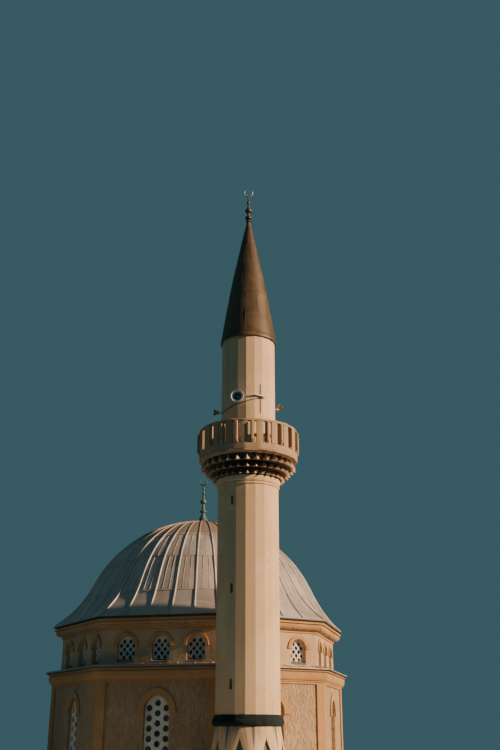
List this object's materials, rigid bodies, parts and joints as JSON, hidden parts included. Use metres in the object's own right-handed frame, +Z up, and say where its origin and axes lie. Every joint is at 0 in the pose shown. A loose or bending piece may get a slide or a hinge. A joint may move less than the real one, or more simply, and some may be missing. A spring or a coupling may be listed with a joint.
{
  "type": "mosque building",
  "caption": "Small domed mosque: octagonal hall with arched windows, a windowed drum under a lead dome, and a slender minaret with a balcony and a conical spire.",
  "frame": {"origin": "on the dome's vertical axis, on the underside of the floor slab, which is ground level", "axes": "+Z up; -Y out of the hall's front wall, hall_wall_1; +X to the right seen from in front; the minaret stands towards +X and -Y"},
  "size_m": [10.46, 12.9028, 21.5193],
  "materials": {
    "ochre_plaster": "weathered ochre lime plaster on masonry",
    "screen_plaster": "off-white cast plaster",
    "door_timber": "dark oiled timber",
    "floor_stone": "stone paving",
    "lead_sheet": "weathered sheet lead, pinkish grey with brown stains",
    "cone_lead": "brown weathered sheet lead",
    "cream_render": "stained cream lime render on stone",
    "dark_stone": "dark painted stone",
    "finial_bronze": "dull green-brown patina",
    "fitting_grey": "weathered grey paint",
    "cable_black": "black cable sheath"
  },
  "bodies": {
    "root": {"balcony_door": "door_timber", "balcony_floor": "cream_render", "balcony_parapet": "cream_render", "corbel_tier_1": "cream_render", "corbel_tier_2": "cream_render", "corbel_tier_3": "cream_render", "dome_finial": "finial_bronze", "dome_quarter_1": "lead_sheet", "dome_quarter_2": "lead_sheet", "dome_quarter_3": "lead_sheet", "dome_quarter_4": "lead_sheet", "drum_cornice": "ochre_plaster", "drum_screens_1": "screen_plaster", "drum_screens_2": "screen_plaster", "drum_screens_3": "screen_plaster", "drum_screens_4": "screen_plaster", "drum_screens_5": "screen_plaster", "drum_screens_6": "screen_plaster", "drum_screens_7": "screen_plaster", "drum_screens_8": "screen_plaster", "drum_wall_1": "ochre_plaster", "drum_wall_2": "ochre_plaster", "drum_wall_3": "ochre_plaster", "drum_wall_4": "ochre_plaster", "drum_wall_5": "ochre_plaster", "drum_wall_6": "ochre_plaster", "drum_wall_7": "ochre_plaster", "drum_wall_8": "ochre_plaster", "entrance_door": "door_timber", "floor_slab": "floor_stone", "hall_cornice": "ochre_plaster", "hall_roof": "lead_sheet", "hall_screen_1": "screen_plaster", "hall_screen_2": "screen_plaster", "hall_screen_3": "screen_plaster", "hall_screen_4": "screen_plaster", "hall_screen_6": "screen_plaster", "hall_screen_7": "screen_plaster", "hall_screen_8": "screen_plaster", "hall_wall_1": "ochre_plaster", "hall_wall_2": "ochre_plaster", "hall_wall_3": "ochre_plaster", "hall_wall_4": "ochre_plaster", "hall_wall_5": "ochre_plaster", "hall_wall_6": "ochre_plaster", "hall_wall_7": "ochre_plaster", "hall_wall_8": "ochre_plaster", "horn_speaker": "fitting_grey", "lamp_cable": "cable_black", "minaret_collar": "cream_render", "minaret_pedestal": "cream_render", "minaret_ring": "dark_stone", "minaret_shaft": "cream_render", "side_lamp_left": "fitting_grey", "side_lamp_right": "fitting_grey", "spire_cone": "cone_lead", "spire_finial": "finial_bronze", "upper_shaft": "cream_render", "wall_lamp": "fitting_grey"}
  },
  "joints": []
}
